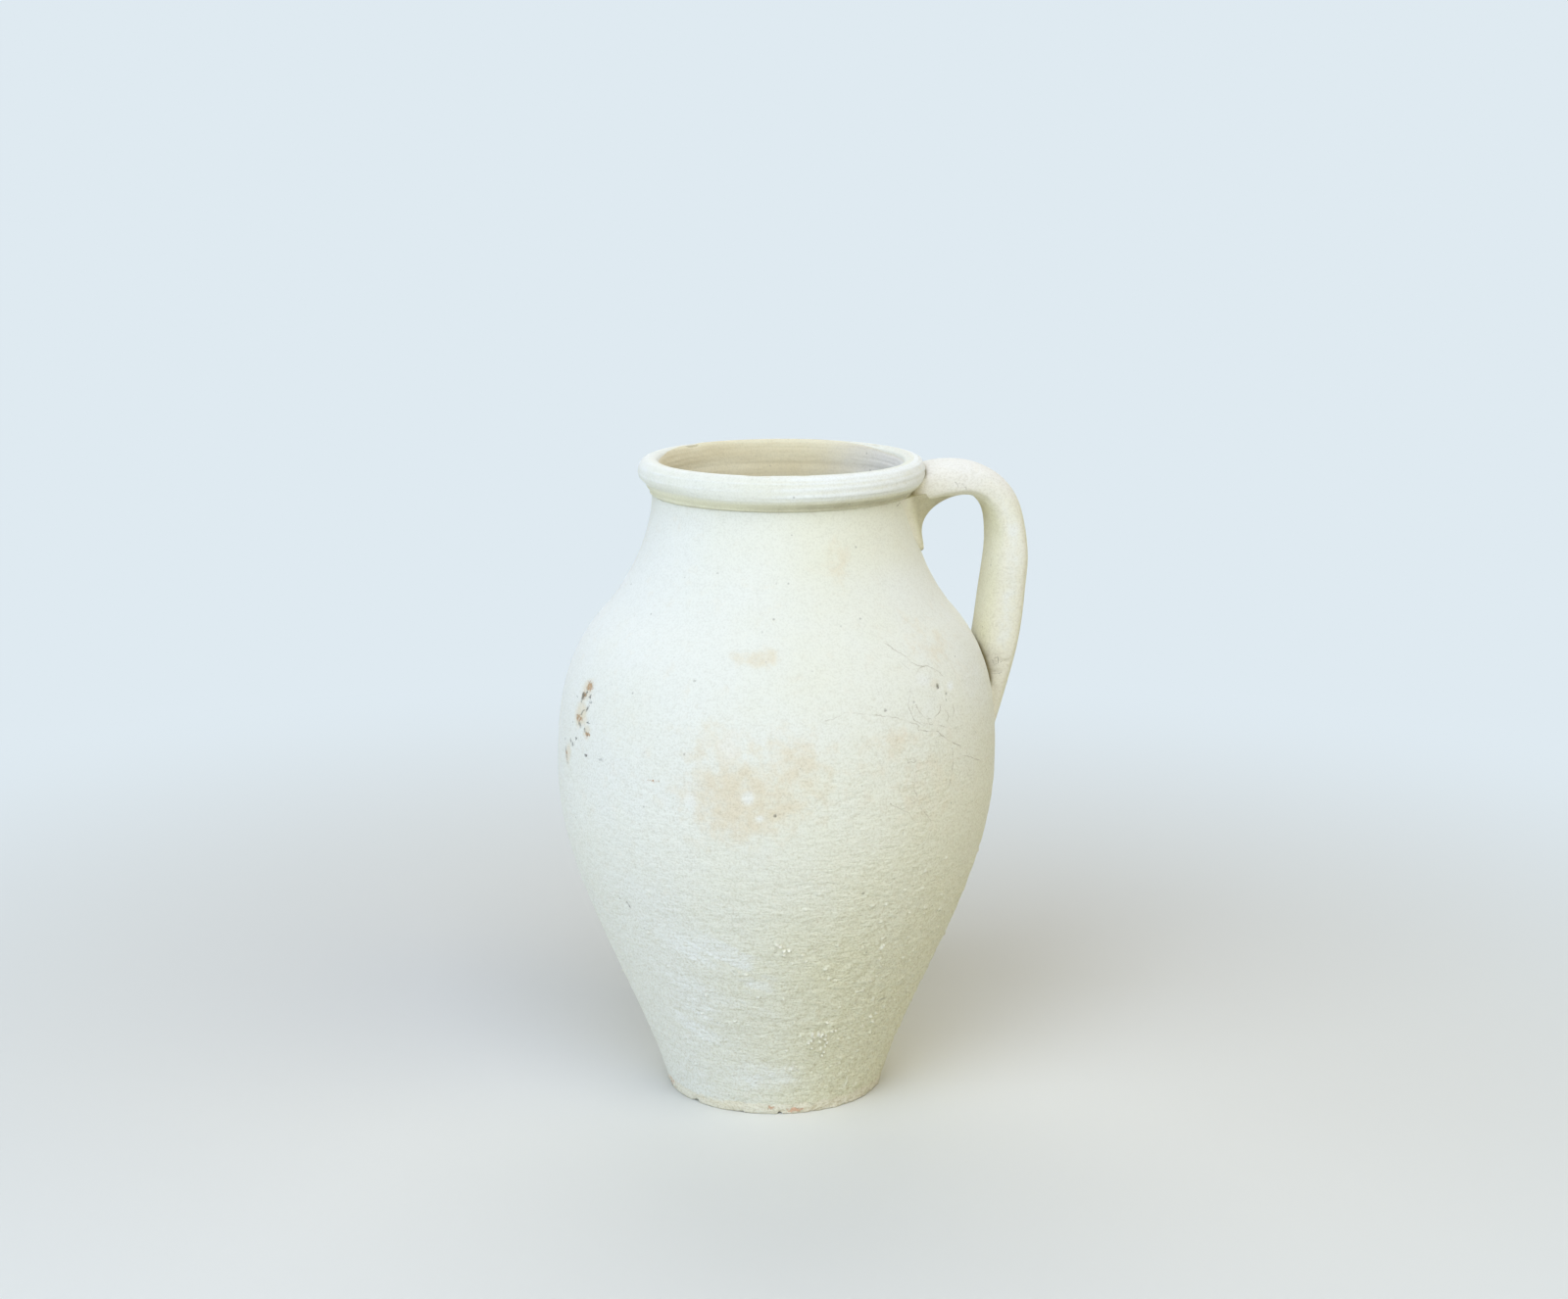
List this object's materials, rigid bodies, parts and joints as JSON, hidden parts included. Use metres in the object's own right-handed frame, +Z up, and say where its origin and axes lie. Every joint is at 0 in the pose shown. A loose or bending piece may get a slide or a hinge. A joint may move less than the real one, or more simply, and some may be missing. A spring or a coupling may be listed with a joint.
{
  "type": "clay pitcher",
  "caption": "Tall hand-thrown clay pitcher with a full belly, narrow foot, rolled rim and one strap handle, coated in pale slip; holds and pours water or oil.",
  "frame": {"origin": "centre of the foot's flat underside", "axes": "+Z up through the mouth, +X toward the handle, +Y completes a right-handed frame"},
  "size_m": [0.2571, 0.2386, 0.35],
  "materials": {
    "slip_coat": "unglazed pale cream slip on low-fired earthenware, matt and faintly sandy",
    "slip_handle": "the same pale slip, thinner and handled, matt",
    "bare_clay": "bare buff earthenware, matt, chipped at the edge"
  },
  "bodies": {
    "root": {"floor_disc": "bare_clay", "lower_body": "slip_coat", "shoulder": "slip_coat", "neck": "slip_coat", "rolled_rim": "slip_coat", "handle_strap": "slip_handle", "handle_root": "slip_handle", "handle_foot": "slip_handle"}
  },
  "joints": []
}
